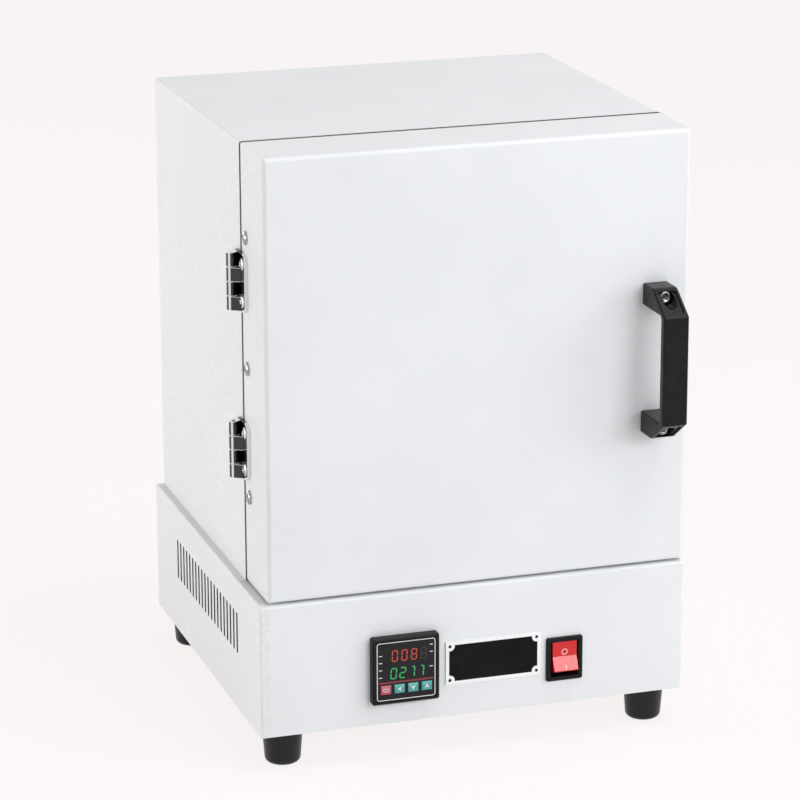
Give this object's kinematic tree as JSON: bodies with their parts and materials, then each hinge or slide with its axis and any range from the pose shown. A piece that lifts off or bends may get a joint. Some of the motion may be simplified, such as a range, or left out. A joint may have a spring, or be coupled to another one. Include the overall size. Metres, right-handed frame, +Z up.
{
  "type": "burnout furnace",
  "caption": "Bench-top electric burnout furnace: a square cabinet with a side-hung insulated door on a control base.",
  "frame": {"origin": "on the surface it stands on, in the middle of the whole object's footprint", "axes": "+Z up, -Y out of the front (the door), +X to the right seen from the front"},
  "size_m": [0.313, 0.3454, 0.4277],
  "materials": {
    "coated_sheet": "satin",
    "plain_sheet": "satin",
    "stainless_sheet": "satin",
    "rubber": "matte",
    "steel_fasteners": "polished",
    "handle_fasteners": "satin",
    "black_plastic": "satin",
    "handle_plastic": "matte",
    "display_window": "gloss",
    "circuit_board": "satin",
    "pink_key": "satin",
    "teal_key": "satin",
    "black_plate": "satin",
    "dark_rivet": "satin",
    "red_rocker": "gloss",
    "relay_plastic": "satin",
    "heatsink_metal": "satin",
    "fibre_board": "matte",
    "fibre_gasket": "matte",
    "element_wire": "matte",
    "hearth": "matte",
    "sheath": "satin",
    "lead_cover": "matte",
    "magnet": "satin",
    "polished_hinge": "polished"
  },
  "bodies": {
    "cabinet": {"base_housing": "coated_sheet", "base_floor": "plain_sheet", "base_rear_panel": "coated_sheet", "foot_front_left": "rubber", "foot_front_right": "rubber", "foot_rear_left": "rubber", "foot_rear_right": "rubber", "foot_screws": "steel_fasteners", "foot_nuts": "steel_fasteners", "controller_case": "black_plastic", "controller_window": "display_window", "controller_board": "circuit_board", "controller_clamp": "black_plastic", "nameplate": "black_plate", "nameplate_rivets": "dark_rivet", "switch_frame": "black_plastic", "solid_state_relay": "relay_plastic", "relay_heatsink": "heatsink_metal", "terminal_block": "black_plastic", "cable_gland": "black_plastic", "body_shell": "coated_sheet", "body_floor": "plain_sheet", "body_rear_cover": "coated_sheet", "front_frame": "stainless_sheet", "insulation_top": "fibre_board", "insulation_bottom": "fibre_board", "insulation_left": "fibre_board", "insulation_right": "fibre_board", "insulation_rear": "fibre_board", "heating_element_left": "element_wire", "heating_element_right": "element_wire", "hearth_plate": "hearth", "thermocouple": "sheath", "heater_leads": "lead_cover", "thermocouple_lead": "lead_cover", "rear_screws": "steel_fasteners", "cabinet_bolts": "steel_fasteners", "catch_holder": "black_plastic", "catch_magnet": "magnet", "hinge_lower_body_leaf": "polished_hinge", "hinge_upper_body_leaf": "polished_hinge", "hinge_pins": "polished_hinge", "hinge_body_screws": "polished_hinge"},
    "door": {"door_shell": "coated_sheet", "door_inner_panel": "stainless_sheet", "door_insulation": "fibre_board", "door_gasket": "fibre_gasket", "strike_plate": "stainless_sheet", "door_handle": "handle_plastic", "handle_screws": "handle_fasteners", "handle_nuts": "steel_fasteners", "door_side_screws": "steel_fasteners", "hinge_lower_door_leaf": "polished_hinge", "hinge_upper_door_leaf": "polished_hinge", "hinge_door_screws": "polished_hinge"},
    "switch_rocker": {"switch_rocker": "red_rocker"},
    "key_set": {"key_set": "pink_key"},
    "key_shift": {"key_shift": "teal_key"},
    "key_down": {"key_down": "teal_key"},
    "key_up": {"key_up": "teal_key"}
  },
  "joints": [
    {"name": "door_hinge", "type": "hinge", "parent": "cabinet", "child": "door", "pos_m": [-0.1535, -0.0783, 0.27485], "axis": [0, 0, -1], "range_deg": [0, 180]},
    {"name": "switch_tilt", "type": "hinge", "parent": "cabinet", "child": "switch_rocker", "pos_m": [0.0661, -0.1263, 0.0588], "axis": [1, 0, 0], "range_deg": [0, 24]},
    {"name": "key_set_press", "type": "slide", "parent": "cabinet", "child": "key_set", "axis": [0, 1, 0], "range_m": [0, 0.0006], "stiffness_N_per_m": 400},
    {"name": "key_shift_press", "type": "slide", "parent": "cabinet", "child": "key_shift", "axis": [0, 1, 0], "range_m": [0, 0.0006], "stiffness_N_per_m": 400},
    {"name": "key_down_press", "type": "slide", "parent": "cabinet", "child": "key_down", "axis": [0, 1, 0], "range_m": [0, 0.0006], "stiffness_N_per_m": 400},
    {"name": "key_up_press", "type": "slide", "parent": "cabinet", "child": "key_up", "axis": [0, 1, 0], "range_m": [0, 0.0006], "stiffness_N_per_m": 400}
  ]
}
